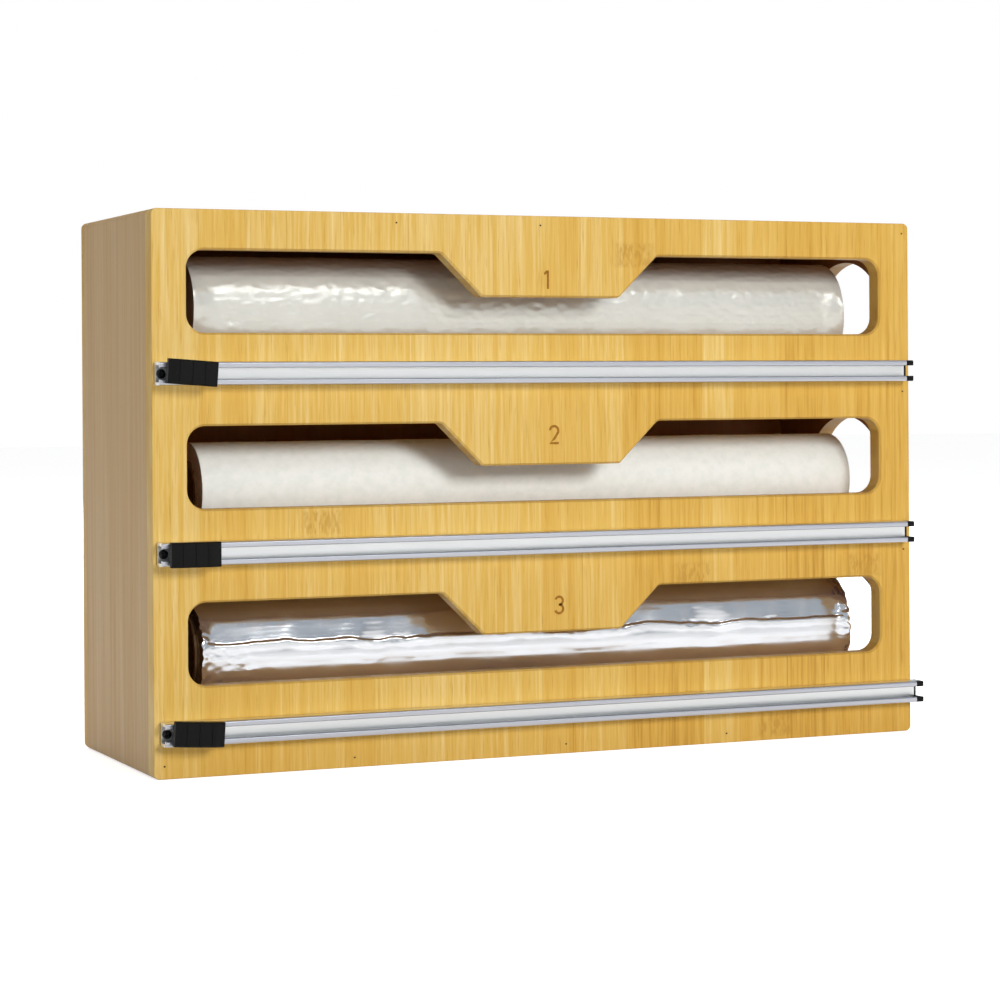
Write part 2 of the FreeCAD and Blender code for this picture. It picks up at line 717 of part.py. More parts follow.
def roll_winding(wrap, tier):
    """The outer turn is a spiral of four quarter circles, each a little smaller than the last."""
    body = roll_body(f"{wrap}_winding", wrap, tier, "0")
    sketch = new_sketch(body, "outer_turn", "YZ_Plane")
    centres = [("0", "0"), ("0", "wrap_step / 4"), ("wrap_step / 4", "wrap_step / 4"),
               ("wrap_step / 4", "0")]
    quarter = 1.5707963267948966
    for turn, (u, v) in enumerate(centres):
        middle = FreeCAD.Vector(value(u), value(v), 0)
        radius = value(f"{wrap}_radius - {turn} * wrap_step / 4")
        ring = Part.Circle(middle, FreeCAD.Vector(0, 0, 1), radius)
        sketch.addGeometry(Part.ArcOfCircle(ring, (1 - turn) * quarter, (2 - turn) * quarter), False)
        tie(sketch, turn, 3, u, v)
        if turn:
            sketch.addConstraint(Sketcher.Constraint("Coincident", turn, 2, turn - 1, 1))
        level = "Horizontal" if turn % 2 else "Vertical"
        sketch.addConstraint(Sketcher.Constraint(level, turn, 3, turn, 1))
    sketch.addConstraint(Sketcher.Constraint("Horizontal", 0, 3, 0, 2))
    number = sketch.addConstraint(Sketcher.Constraint("Radius", 0, value(f"{wrap}_radius")))
    bind(sketch, f"Constraints[{number}]", f"{wrap}_radius")
    radius = value(f"{wrap}_radius")
    tail = FreeCAD.Vector(value("wrap_step") - radius, 0, 0)
    edge = sketch.addGeometry(Part.LineSegment(tail, FreeCAD.Vector(-radius, 0, 0)), False)
    sketch.addConstraint(Sketcher.Constraint("Coincident", edge, 1, len(centres) - 1, 1))
    sketch.addConstraint(Sketcher.Constraint("Coincident", edge, 2, 0, 2))
    circle(sketch, "0", "0", f"{wrap}_core_radius + winding_fit")
    pad(body, "wrap", sketch, "roll_length")


front_panel()
back_panel()
side_panel("left")
side_panel("right")
inner_board("top_panel", "height - wall", "wall", BRADS_TOP)
inner_board("bottom_panel", "0", "wall", BRADS_BOTTOM)
for tier in TIERS:
    inner_board(f"shelf_{tier}", f"{tier}_floor - shelf_thick", "shelf_thick", BRADS_SHELF)
panel_brads()
for tier in TIERS:
    cutter_rail(tier)
    rail_tape(tier)
    rail_stop(tier)
    slider_shoe(tier)
    slider_cap(tier)
    cutter_blade(tier)
rail_screws()
for tier, wrap in TIERS.items():
    roll_core(wrap, tier)
    roll_winding(wrap, tier)
doc.recompute()

for thing in doc.Objects:
    if {"Invalid", "Error"} & set(thing.State):
        raise RuntimeError(f"{thing.Label} failed: {thing.State}")
for piece in pieces:
    if piece.Shape.isNull() or not piece.Shape.isValid():
        raise RuntimeError(f"{piece.Label} has no valid shape")
os.makedirs("parts", exist_ok=True)
for piece in pieces:
    piece.Shape.exportStep(f"parts/{piece.Label}.step")
print(len(pieces), "pieces written")
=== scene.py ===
import math

import bmesh
import bpy
import numpy as np
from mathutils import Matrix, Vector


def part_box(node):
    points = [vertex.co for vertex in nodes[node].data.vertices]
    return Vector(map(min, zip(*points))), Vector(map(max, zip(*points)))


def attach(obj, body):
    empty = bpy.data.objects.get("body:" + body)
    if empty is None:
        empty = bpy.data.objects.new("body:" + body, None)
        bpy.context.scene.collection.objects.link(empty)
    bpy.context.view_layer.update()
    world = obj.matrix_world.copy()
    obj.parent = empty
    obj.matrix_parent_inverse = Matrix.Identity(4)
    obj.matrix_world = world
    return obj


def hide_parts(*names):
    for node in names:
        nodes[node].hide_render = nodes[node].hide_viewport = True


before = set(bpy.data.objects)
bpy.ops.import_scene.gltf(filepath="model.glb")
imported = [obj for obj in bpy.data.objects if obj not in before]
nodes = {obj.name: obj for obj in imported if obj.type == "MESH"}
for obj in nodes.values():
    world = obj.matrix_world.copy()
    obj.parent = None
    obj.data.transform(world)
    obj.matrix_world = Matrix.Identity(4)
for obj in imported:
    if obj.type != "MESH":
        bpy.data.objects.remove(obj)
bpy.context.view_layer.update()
tiers = {"upper": "film", "middle": "wax", "lower": "foil"}

# The photograph's view: from the left, level with the rail under the upper slot, through a lens of
# 97 mm. The frame is shifted down, so that the box's upright edges stay parallel in it.
CAMERA_TURN = math.radians(-23.45)
CAMERA_ROLL = math.radians(0.364)
camera = bpy.data.objects.new("camera", bpy.data.cameras.new("camera"))
bpy.context.scene.collection.objects.link(camera)
bpy.context.scene.camera = camera
camera.data.sensor_width = 36
camera.data.lens = 96.88
camera.data.shift_y = -0.1136
camera.data.clip_start = 0.05
camera.location = (-0.4716, -1.08455, 0.15495)
camera.rotation_euler = (math.radians(90), CAMERA_ROLL, CAMERA_TURN)

# Front panel: flat strips of bamboo glued side by side, planed, sanded and brushed with a satin
# varnish. It is the palest board. Nodes of the cane cross single strips as mottled patches, and the
# slots are routed through, so that their upper and lower walls show fibres cut across.
STRIP_WIDTH = 0.019
STRIP_SHIFT = 9.0                         # how far apart the patterns of two strips start
STREAK_SIZES = (0.0026, 0.16, 0.02)       # across the fibres, along them and in depth
VEIN_SIZES = (0.0011, 0.030, 0.01)
FIBRE_SIZES = (0.0005, 0.013, 0.002)      # real fibres are 0.2 mm wide, drawn coarser to show
FIBRE_THREADS = {"From Min": 0.58, "From Max": 0.76}
FIBRE_COVER = 0.5
STRIP_SHARE = 0.30                        # how far strips move the tone
STREAK_SHARE = 0.76                       # the same for streaks and for veins
SHARES_MIDDLE = 0.87                      # about what strips, streaks and veins come to together
TONE_STOPS = (0.42, 0.72)
GLUE_LINE = 0.011                         # part of a strip's width
GLUE_DARKEST = 0.45
KNOT_HALVES = (0.0095, 0.0054)            # half a node's size across the fibres and along them
KNOT_SPECKS = (0.0013, 0.0042, 0.01)
KNOT_EDGE = {"From Min": 1.62, "From Max": 1.30}
KNOT_MARKS = {"From Min": 0.44, "From Max": 0.60, "To Min": 0.10, "To Max": 0.55}
FACE_TURNED = (0.5, 0.9)                  # share of a normal at which another face starts, is full
CUT_COVER = 0.7
INSIDE_COVER = 0.9
VARNISH_SHINE = {"From Min": 0.35, "From Max": 0.65, "To Min": 0.42, "To Max": 0.56}
FRONT_TONES = ("#E8CB87", "#DBB25A", "#D3A448", "#B58534")
FRONT_DRIFT = (0.8, -0.5)                 # how much darker in each metre to the right and up
FRONT_KNOTS = ((0.0383, 0.2105), (-0.1035, 0.1000), (0.0660, 0.0735), (0.1055, 0.0068),
               (0.1510, 0.0750))
# Painted light: the bare inner face is coloured a bright orange, as if lit through the slots.
INSIDE_BARE_PAINTED_LIGHT = "#F2B866"
END_GRAIN = "#A9803F"


def linear(colour):
    """Turns an sRGB hex colour into linear light: over 12.92 near black, else a power of 2.4."""
    parts = [int(colour[place:place + 2], 16) / 255 for place in (1, 3, 5)]
    light = [part / 12.92 if part <= 0.04045 else ((part + 0.055) / 1.055) ** 2.4 for part in parts]
    return (*light, 1.0)


def add(material, kind, links, **settings):
    """Adds a node: settings are its properties, links its inputs, a value or an output each."""
    tree = material.node_tree
    node = tree.nodes.new(kind)
    for name, value in settings.items():
        setattr(node, name, value)
    for name, value in links.items():
        if isinstance(value, bpy.types.NodeSocket):
            tree.links.new(value, node.inputs[name])
        else:
            node.inputs[name].default_value = value
    return node


def finish(name, **values):
    """Starts a material. Values go to its surface shader, with underscores for spaces."""
    material = bpy.data.materials.new(name)
    material.use_nodes = True
    shader = material.node_tree.nodes["Principled BSDF"]
    for key, value in values.items():
        shader.inputs[key.replace("_", " ")].default_value = value
    return material, shader


def drive(material, output, shader, name):
    """Lets a node's output drive an input of the surface's or the room's shader."""
    material.node_tree.links.new(output, shader.inputs[name])


def stretched(across, grain, sizes):
    """Scales for a pattern with these sizes in metres across the grain, along it and in depth."""
    scale = [1 / sizes[2]] * 3
    scale["XYZ".index(across)] = 1 / sizes[0]
    scale["XYZ".index(grain)] = 1 / sizes[1]
    return scale


def bamboo(name, across, grain, tones, inward=None, knots=(), drift=(0.0, 0.0), contrast=1.0):
    """Strips of uneven tone, streaks and fibres along them, nodes, and other cut and inner faces.

    Tones run from pale to dark. Inward is the axis, sign and colour of the face inside the box, a
    colour painted there: painted light on the front panel's, painted shade on the others.
    """
    material, shader = finish(name, Specular_IOR_Level=0.25)
    place = add(material, "ShaderNodeTexCoord", {})
    spot = add(material, "ShaderNodeSeparateXYZ", {0: place.outputs["Object"]})
    facing = add(material, "ShaderNodeSeparateXYZ", {0: place.outputs["Normal"]})
    strips = {"W": spot.outputs[across], "Scale": 1 / STRIP_WIDTH, "Randomness": 0.5}
    strip = add(material, "ShaderNodeTexVoronoi", strips, voronoi_dimensions="1D")
    joint = add(material, "ShaderNodeTexVoronoi", strips, voronoi_dimensions="1D",
                feature="DISTANCE_TO_EDGE")
    lot = add(material, "ShaderNodeSeparateColor", {0: strip.outputs["Color"]})
    shift = add(material, "ShaderNodeVectorMath", {0: strip.outputs["Color"],
                                                   "Scale": STRIP_SHIFT}, operation="SCALE")

    def pattern(sizes):
        """Cloudy noise with these sizes that starts afresh in each strip."""
        spread = add(material, "ShaderNodeVectorMath", {
            0: place.outputs["Object"], 1: stretched(across, grain, sizes), 2: shift.outputs[0]},
            operation="MULTIPLY_ADD")
        noise = add(material, "ShaderNodeTexNoise", {"Vector": spread.outputs[0], "Scale": 1.0})
        return noise.outputs[0]

    streak = pattern(STREAK_SIZES)
    vein = pattern(VEIN_SIZES)
    fibre = pattern(FIBRE_SIZES)
    depth = 0.5 - contrast * SHARES_MIDDLE
    for value, share in ((lot.outputs[0], STRIP_SHARE * contrast),
                         (streak, STREAK_SHARE * contrast), (vein, STREAK_SHARE * contrast),
                         (spot.outputs[across], drift[0]), (spot.outputs[grain], drift[1])):
        depth = add(material, "ShaderNodeMath", {0: value, 1: share, 2: depth},
                    operation="MULTIPLY_ADD").outputs[0]
    tone = add(material, "ShaderNodeValToRGB", {0: depth})
    ramp = tone.color_ramp
    ramp.elements[0].color = linear(tones[0])
    ramp.elements[1].color = linear(tones[3])
    for stop, between in zip(TONE_STOPS, tones[1:3]):
        ramp.elements.new(stop).color = linear(between)

    threads = add(material, "ShaderNodeMapRange", {"Value": fibre, **FIBRE_THREADS,
                                                   "To Max": FIBRE_COVER * contrast})
    line = add(material, "ShaderNodeMath", {0: joint.outputs["Distance"], 1: GLUE_LINE},
               operation="LESS_THAN")
    some = add(material, "ShaderNodeMath", {0: lot.outputs[1], 1: GLUE_DARKEST},
               operation="MULTIPLY")
    glued = add(material, "ShaderNodeMath", {0: line.outputs[0], 1: some.outputs[0]},
                operation="MULTIPLY")
    layers = [(threads.outputs[0], tones[3]), (glued.outputs[0], tones[3])]
    if knots:
        mottle = pattern(KNOT_SPECKS)
        patch = 0.0
        for middle in knots:
            reach = 0.0
            for way, centre, half in zip((across, grain), middle, KNOT_HALVES):
                off = add(material, "ShaderNodeMath", {0: spot.outputs[way], 1: 1 / half,
                                                       2: -centre / half}, operation="MULTIPLY_ADD")
                size = add(material, "ShaderNodeMath", {0: off.outputs[0]}, operation="ABSOLUTE")
                reach = add(material, "ShaderNodeMath", {0: size.outputs[0], 1: reach},
                            operation="MAXIMUM").outputs[0]
            frayed = add(material, "ShaderNodeMath", {0: reach, 1: mottle}, operation="ADD")
            here = add(material, "ShaderNodeMapRange", {"Value": frayed.outputs[0], **KNOT_EDGE})
            patch = add(material, "ShaderNodeMath", {0: here.outputs[0], 1: patch},
                        operation="MAXIMUM").outputs[0]
        marks = add(material, "ShaderNodeMapRange", {"Value": mottle, **KNOT_MARKS})
        knot = add(material, "ShaderNodeMath", {0: patch, 1: marks.outputs[0]},
                   operation="MULTIPLY")
        layers.append((knot.outputs[0], tones[3]))
    upright = add(material, "ShaderNodeMath", {0: facing.outputs[grain]}, operation="ABSOLUTE")
    cut = add(material, "ShaderNodeMapRange", {"Value": upright.outputs[0],
                                               "From Min": FACE_TURNED[0],
                                               "From Max": FACE_TURNED[1], "To Max": CUT_COVER})
    layers.append((cut.outputs[0], END_GRAIN))
    if inward:
        axis, sign, inside = inward
        hidden = add(material, "ShaderNodeMapRange", {"Value": facing.outputs[axis],
                                                      "From Min": FACE_TURNED[0] * sign,
                                                      "From Max": FACE_TURNED[1] * sign,
                                                      "To Max": INSIDE_COVER})
        layers.append((hidden.outputs[0], inside))
    colour = tone.outputs[0]
    for share, laid in layers:
        colour = add(material, "ShaderNodeMix", {"Factor": share, "A": colour, "B": linear(laid)},
                     data_type="RGBA").outputs[2]
    drive(material, colour, shader, "Base Color")
    varnish = add(material, "ShaderNodeMapRange", {"Value": streak, **VARNISH_SHINE})
    drive(material, varnish.outputs[0], shader, "Roughness")
    relief = add(material, "ShaderNodeBump", {"Height": fibre, "Strength": 0.15,
                                              "Distance": 0.0002})
    drive(material, relief.outputs[0], shader, "Normal")
    return material


def paint(node, material):
    """Gives a CAD node its finish."""
    mesh = nodes[node].data
    mesh.materials.clear()
    mesh.materials.append(material)


paint("front_panel", bamboo("bamboo_front_varnished", "X", "Z", FRONT_TONES,
                            ("Y", 1, INSIDE_BARE_PAINTED_LIGHT), FRONT_KNOTS, FRONT_DRIFT))

# Numbers: one on each tongue, burnt into the varnished face by a laser, so that their strokes are
# brown and dull. They are narrow ribbons whose front lies level with the face.
BURNT_TONES = ("#7C4A12", "#B98438")
BURNT_SPECKS = 0.0012
STROKE_WIDTH = 0.00105
STROKE_PROUD = 0.00003
STROKE_DEPTH = 0.0004
ARC_POINTS = 33
SAME_POINT = 1e-7         # corners nearer to each other than this are one
NUMBER_PLACES = ((-0.0026, 0.1997, 0.0088), (0.0002, 0.1345, 0.0082), (0.0020, 0.0627, 0.0080))


def speckles(material, sizes, detail=2.0, **more):
    """Cloudy noise with these sizes in metres along X, Y and Z, or with one size all ways."""
    place = add(material, "ShaderNodeTexCoord", {})
    spread = add(material, "ShaderNodeMapping", {
        "Vector": place.outputs["Object"], "Scale": (1 / np.broadcast_to(sizes, 3)).tolist()})
    noise = add(material, "ShaderNodeTexNoise", {"Vector": spread.outputs[0], "Scale": 1.0,
                                                 "Detail": detail, **more})
    return noise.outputs[0]


def speckled(name, tones, size, relief, **values):
    """A finish whose tone and relief follow the same specks. Relief is the strength of the bump."""
    material, shader = finish(name, **values)
    specks = speckles(material, size)
    tone = add(material, "ShaderNodeMix", {"Factor": specks, "A": linear(tones[0]),
                                           "B": linear(tones[1])}, data_type="RGBA")
    drive(material, tone.outputs[2], shader, "Base Color")
    if relief:
        bump = add(material, "ShaderNodeBump", {"Height": specks, "Strength": relief,
                                                "Distance": 0.0001})
        drive(material, bump.outputs[0], shader, "Normal")
    return material


def arc(middle, radius, start, end):
    """Points on a circle: its middle plus the radius times cosine and sine of even angles."""
    angle = np.radians(np.linspace(start, end, ARC_POINTS))
    return np.stack([middle[0] + radius * np.cos(angle), middle[1] + radius * np.sin(angle)], 1)


def number_lines():
    """Each number's middle line, one unit high and centred on its foot."""
    one = np.array([(-0.17, 0.80), (-0.08, 0.88), (0.0, 0.96), (0.05, 1.0), (0.05, 0.5),
                    (0.05, 0.0)])
    two = np.vstack([arc((0, 0.73), 0.27, 175, -32), [(0.0, 0.25), (-0.27, 0.0), (0.3, 0.0)]])
    three = np.vstack([arc((0, 0.755), 0.245, 160, -88), arc((0, 0.265), 0.265, 88, -160)])
    return one, two, three


def ribbon(line, width, front, back):
    """Carries a flat rectangle along a line in the front's plane.

    Each point gets four corners: half the width to each side along the line's normal, at the front
    and at the back. The two ends are closed with a rectangle each.
    """
    way = np.gradient(line, axis=0)
    way /= np.linalg.norm(way, axis=1, keepdims=True)
    side = np.stack([-way[:, 1], way[:, 0]], 1) * width / 2
    corners = [(line + side, front), (line - side, front), (line - side, back), (line + side, back)]
    rows = np.stack([np.stack([flat[:, 0], np.full(len(line), depth), flat[:, 1]], 1)
                     for flat, depth in corners], 1)
    count = len(line)
    here = np.arange(count - 1)[:, None] * 4 + np.arange(4)[None, :]
    next_corner = np.arange(count - 1)[:, None] * 4 + (np.arange(4)[None, :] + 1) % 4
    quads = np.stack([here, here + 4, next_corner + 4, next_corner], 2).reshape(-1, 4)
    last = (count - 1) * 4
    ends = np.array([[0, 1, 2, 3], [last + 3, last + 2, last + 1, last]])
    return rows.reshape(-1, 3), np.vstack([quads, ends])


def new_piece(name, points, faces, material, body, stands_for=(), smooth=None):
    """Makes a closed mesh, turned outwards by the sign of its volume, and ties it to its body.

    The volume is a sixth of the sum, over the faces' triangles, of the triple products of corners.
    Smooth is the angle in degrees up to which an edge is shaded as round.
    """
    first, second, third, fourth = (points[faces[:, corner]] for corner in range(4))
    triple = np.einsum("ij,ij->", first, np.cross(second, third))
    triple += np.einsum("ij,ij->", first, np.cross(third, fourth))
    if triple < 0:
        faces = faces[:, ::-1]
    mesh = bpy.data.meshes.new(name)
    mesh.from_pydata(points.tolist(), [], faces.tolist())
    joined = bmesh.new()
    joined.from_mesh(mesh)
    bmesh.ops.remove_doubles(joined, verts=joined.verts, dist=SAME_POINT)
    joined.to_mesh(mesh)
    joined.free()
    mesh.materials.append(material)
    if smooth is not None:
        mesh.shade_smooth()
        mesh.set_sharp_from_angle(angle=math.radians(smooth))
    piece = bpy.data.objects.new(name, mesh)
    bpy.context.scene.collection.objects.link(piece)
    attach(piece, body)
    if stands_for:
        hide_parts(*stands_for)


burnt = speckled("bamboo_laser_burnt", BURNT_TONES, BURNT_SPECKS, 0, Roughness=0.8,
                 Specular_IOR_Level=0.2)
panel_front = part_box("front_panel")[0][1]
for tier, line, (middle_x, middle_z, tall) in zip(tiers, number_lines(), NUMBER_PLACES):
    spread = line * (tall - STROKE_WIDTH) + (middle_x, middle_z - (tall - STROKE_WIDTH) / 2)
    points, faces = ribbon(spread, STROKE_WIDTH, panel_front - STROKE_PROUD,
                           panel_front + STROKE_DEPTH)
    new_piece(f"number_{tier}", points, faces, burnt, "case")

# Back panel: the same strips, glued, sanded and varnished alike, with two keyholes routed in for
# hanging the box on a wall. Its nodes of the cane lie elsewhere.
BACK_TONES = ("#E2C384", "#D5AD5E", "#C99B4B", "#B07F34")
# Painted shade: faces inside the box are coloured a darker brown than the outsides.
INSIDE_PAINTED_SHADE = "#8A4E1F"
BACK_KNOTS = ((-0.1180, 0.1620), (-0.0420, 0.0520), (0.0310, 0.1310), (0.0900, 0.0300),
              (0.1400, 0.1900))
paint("back_panel", bamboo("bamboo_back_varnished", "X", "Z", BACK_TONES, ("Y", -1, INSIDE_PAINTED_SHADE),
                           BACK_KNOTS))

# Side panels: edge-pressed bamboo, fibres upright, varnished. Their tone is painted a little
# greyer than the front's: painted sheen of the pale room. The right one has an oval port for each
# roll, cut with a router and eased outside. Inside the box their faces take the painted shade.
SIDE_TONES = ("#D3B584", "#CCA974", "#C59F69", "#B58B55")
SIDE_CONTRAST = 0.6
for side, sign in (("left", 1), ("right", -1)):
    paint(f"{side}_side_panel",
          bamboo(f"bamboo_{side}_side", "Y", "Z", SIDE_TONES, ("X", sign, INSIDE_PAINTED_SHADE),
                 contrast=SIDE_CONTRAST))

# Top and bottom panels: the same boards laid flat between the sides, fibres along the rolls, and
# varnished outside. Their faces inside the box are painted a darker brown: painted shade.
for board, sign in (("top_panel", -1), ("bottom_panel", 1)):
    paint(board, bamboo(f"bamboo_{board}", "Y", "X", BACK_TONES, ("Z", sign, INSIDE_PAINTED_SHADE)))

# Shelves: boards planed to size, fibres along the rolls, and left without varnish. They are pale on
# both faces, and the foil mirrors them in its upper and lower bands.
SHELF_TONES = ("#E2B878", "#D8AA66", "#CC9A54", "#B08040")
shelf_board = bamboo("bamboo_shelf_raw", "Y", "X", SHELF_TONES)
for tier in tiers:
    paint(f"shelf_{tier}", shelf_board)

# Brads: headless pins of flat steel wire, shot through the face boards into the panels behind.
# Their ends lie level with the wood, dulled by glue, and show as small brown dots.
BRAD_TONES = ("#3A2A18", "#6A5236")
BRAD_SPECKS = 0.0004
brad_steel = speckled("brad_steel_dull", BRAD_TONES, BRAD_SPECKS, 0, Metallic=0.7, Roughness=0.55)
paint("panel_brads", brad_steel)

# Cores: tubes wound at a slant from strips of grey-brown board and glued. They are dull and mottled
# with paper fibres, and the joint of the outer strip goes round each tube as a dark helix.
CARD_TONES = ("#A98C68", "#836745")
CARD_FIBRES = 0.003
CARD_JOINT = "#5A4329"
CARD_JOINT_FADE = {"From Min": 0.0, "From Max": 0.02, "To Min": 0.7, "To Max": 0.0}
CARD_PITCH = 0.062        # one strip of board to the next along the tube


def roll_axis(wrap):
    """Depth and height of a roll's axis, the middle of its core's box."""
    low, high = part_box(f"{wrap}_core")
    return (low[1] + high[1]) / 2, (low[2] + high[2]) / 2


def centred(material, wrap):
    """Texture coordinates, and the place measured from a roll's axis."""
    place = add(material, "ShaderNodeTexCoord", {})
    moved = add(material, "ShaderNodeVectorMath", {0: place.outputs["Object"],
                                                   1: (0.0, *roll_axis(wrap))},
                operation="SUBTRACT")
    return place, moved.outputs[0]


def cardboard(wrap):
    """Mottled board, with a dark line where the angle plus the place along the tube repeats."""
    material, shader = finish(f"cardboard_{wrap}_core", Roughness=0.85, Specular_IOR_Level=0.25)
    spot = add(material, "ShaderNodeSeparateXYZ", {0: centred(material, wrap)[1]})
    angle = add(material, "ShaderNodeMath", {0: spot.outputs["Z"], 1: spot.outputs["Y"]},
                operation="ARCTAN2")
    round_tube = add(material, "ShaderNodeMath", {0: angle.outputs[0], 1: 1 / (2 * math.pi)},
                     operation="MULTIPLY")
    helix = add(material, "ShaderNodeMath", {0: spot.outputs["X"], 1: 1 / CARD_PITCH,
                                             2: round_tube.outputs[0]}, operation="MULTIPLY_ADD")
    phase = add(material, "ShaderNodeMath", {0: helix.outputs[0]}, operation="FRACT")
    joint = add(material, "ShaderNodeMapRange", {"Value": phase.outputs[0], **CARD_JOINT_FADE})
    mottle = speckles(material, CARD_FIBRES, 4.0)
    card = add(material, "ShaderNodeMix", {"Factor": mottle, "A": linear(CARD_TONES[0]),
                                           "B": linear(CARD_TONES[1])}, data_type="RGBA")
    jointed = add(material, "ShaderNodeMix", {"Factor": joint.outputs[0], "A": card.outputs[2],
                                              "B": linear(CARD_JOINT)}, data_type="RGBA")
    drive(material, jointed.outputs[2], shader, "Base Color")
    bump = add(material, "ShaderNodeBump", {"Height": mottle, "Strength": 0.3,
                                            "Distance": 0.0003})
    drive(material, bump.outputs[0], shader, "Normal")
    return material


for wrap in tiers.values():
    paint(f"{wrap}_core", cardboard(wrap))

# Film roll: clear cling film, hundreds of thin layers, so that it looks grey-white and shines like
# weak metal. Its slack outer turn is drawn flat at the front and puckers in short slanting ripples.
AROUND = 256
ALONG = 304
END_RINGS = 14
WINDING_FIT = 0.00005     # between the core and the wrap's first turn
SEAM_TURN = 0.0002        # part of a turn across which the loose edge drops by one step
RIM_REACH = 0.003         # how far in from its end a ragged rim moves the wrap
LAYER_RELIEF = 0.00012
LAYER_WAVES = 40          # radians of the relief of an end, from rim to bore
LAYER_SWEEP = 6.28        # the same once round the roll, so that the relief winds inwards
DIP = 3                   # ripples seldom dip below three times their spread
END_TURNED = {"From Min": 0.7, "From Max": 0.9}
RING_SHADES = {"From Min": -1.0, "From Max": 1.0, "To Min": 0.3, "To Max": 0.8}
FILM_TONES = ("#DADBD3", "#E9EAE3")
# Rings on the ends: the layers' lines, darkened by painted shade.
FILM_RINGS = (0.0007, "#8D887C")
FILM_CLOUDS = 0.02
FILM_CRINKLE = 0.0022
FILM_LOOSE_EDGE = math.radians(-70)
FILM_STEP = 0.0002        # as thick as about twenty layers, so that the loose edge shows
FILM_FLATS = ((-45, 0), (-22, 1.0), (-10, 2.25), (0, 2.55), (6.2, 2.46), (16.5, 2.09),
              (32.5, 0.84), (39, 0.1), (46, 0))
FILM_ROUND_ENDS = 0.006
FILM_WANDER = (12, 0.06, 0.2, 10)         # waves: how many, shortest, longest, seed and upright
FILM_RIPPLES = (90, 0.0025, 0.007, 11)
FILM_PUCKERS = (40, 0.010, 0.040, 12, 1.6)
WANDER_SHARE = 0.06
RIPPLE_DEPTH = 0.000045
PUCKER_DEPTH = 0.000060


def waves(angle, along, radius, count, shortest, longest, seed, upright=1.0):
    """Ripples on the unrolled wrap: a sum of cosines of random length, heading and start.

    Each has a whole number of periods round the roll, so that its ends meet. The sum is divided by
    its own spread. Upright above 1 turns the crests to run round the roll rather than along it.
    """
    draw = np.random.default_rng(seed)
    total = np.zeros((len(along), len(angle)))
    for _ in range(count):
        length = math.exp(draw.uniform(math.log(shortest), math.log(longest)))
        heading = draw.uniform(0, math.pi)
        periods = round(2 * math.pi * radius * math.sin(heading) / upright / length)
        pace = 2 * math.pi * math.cos(heading) / length
        start = draw.uniform(0, 2 * math.pi)
        total += length * np.cos(periods * angle[None, :] + pace * along[:, None] + start)
    return total / total.std()


def fading(gap, reach):
    """One where the gap is nothing, falling away as a bell curve of this reach."""
    return np.exp(-(gap / reach) ** 2)[:, None]


def near_ends(along, reach):
    """One at both ends of a roll, falling to nothing within this reach."""
    return fading(np.minimum(along, along[-1] - along), reach)


def flats(table, angle):
    """Depth of the flats that handling pressed in, from angles in degrees and millimetres."""
    corners, depths = np.array(table).T
    turned = (np.degrees(angle) + 180) % 360 - 180
    return np.interp(turned, corners, depths, left=0, right=0) / 1000


def wind(wrap, loose_angle, step, depth, ragged, material):
    """The wound wrap as one closed surface, a profile carried round the axis.

    The angle is zero at the front and grows over the top. From the loose edge on, the outer radius
    falls evenly by one step in a turn, less the depth of the wrinkles, a function of angle and
    place. The profile runs along the outside, down the right end, back through the bore and up the
    left end, and ragged moves the rim of each end to and fro.
    """
    low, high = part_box(f"{wrap}_winding")
    core_low, core_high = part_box(f"{wrap}_core")
    middle_y, middle_z = roll_axis(wrap)
    length = high[0] - low[0]
    radius = middle_y - low[1]
    bore = (core_high[1] - core_low[1]) / 2 + WINDING_FIT
    turn = np.append(np.arange(AROUND) / AROUND, 1 - SEAM_TURN)
    angle = loose_angle + 2 * math.pi * turn
    along = np.linspace(0, length, ALONG)
    outer = radius - step * turn[None, :] - depth(angle, along, radius)
    rim_left, rim_right = ragged(angle)
    place = along[:, None] + rim_left[None, :] * fading(along, RIM_REACH)
    place -= rim_right[None, :] * fading(length - along, RIM_REACH)
    inward = (np.arange(1, END_RINGS + 1) / END_RINGS)[:, None]
    wound = inward * LAYER_WAVES + turn[None, :] * LAYER_SWEEP
    layers = np.abs(LAYER_RELIEF * np.sin(wound)) * (inward < 1)
    right_rings = outer[-1:] * (1 - inward) + bore * inward
    right_place = place[-1:] * (1 - inward) + length * inward - layers
    left_rings = (outer[:1] * (1 - inward) + bore * inward)[::-1]
    left_place = (place[:1] * (1 - inward) + layers)[::-1]
    ring = np.vstack([outer, right_rings, left_rings])
    where = np.vstack([place, right_place, left_place])
    points = np.stack([low[0] + where, middle_y - ring * np.cos(angle)[None, :],
                       middle_z + ring * np.sin(angle)[None, :]], 2)
    rows, columns = ring.shape
    row = np.arange(rows)[:, None]
    column = np.arange(columns)[None, :]
    next_row = (row + 1) % rows
    next_column = (column + 1) % columns
    faces = np.stack([row * columns + column, row * columns + next_column,
                      next_row * columns + next_column, next_row * columns + column], 2)
    new_piece(f"{wrap}_wound", points.reshape(-1, 3), faces.reshape(-1, 4), material,
              f"{wrap}_roll", stands_for=(f"{wrap}_winding",), smooth=50)


